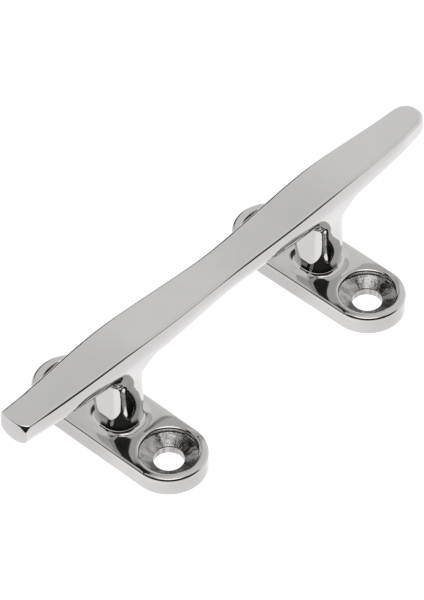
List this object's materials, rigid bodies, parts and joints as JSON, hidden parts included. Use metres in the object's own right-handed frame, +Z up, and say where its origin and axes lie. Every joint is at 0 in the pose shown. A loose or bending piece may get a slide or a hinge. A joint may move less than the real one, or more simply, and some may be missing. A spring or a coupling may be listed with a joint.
{
  "type": "open-base horn cleat",
  "caption": "Polished open-base horn cleat: a waisted bar with blunt horns on square posts, each on a rounded pad with countersunk screw holes.",
  "frame": {"origin": "centre of the cleat on the deck plane, under the middle of the bar", "axes": "+X along the bar, from the near horn to the far horn; +Y across the bar, along each pair of screw holes; +Z up from the deck"},
  "size_m": [0.125, 0.0456, 0.0282],
  "materials": {
    "polished_steel": "mirror-polished stainless steel",
    "weld_steel": "stainless steel weld bead, ground to a hollow fillet and polished"
  },
  "bodies": {
    "root": {"horn_bar": "polished_steel", "near_leg": "polished_steel", "far_leg": "polished_steel", "near_pad": "polished_steel", "far_pad": "polished_steel", "near_leg_weld": "weld_steel", "far_leg_weld": "weld_steel"}
  },
  "joints": []
}
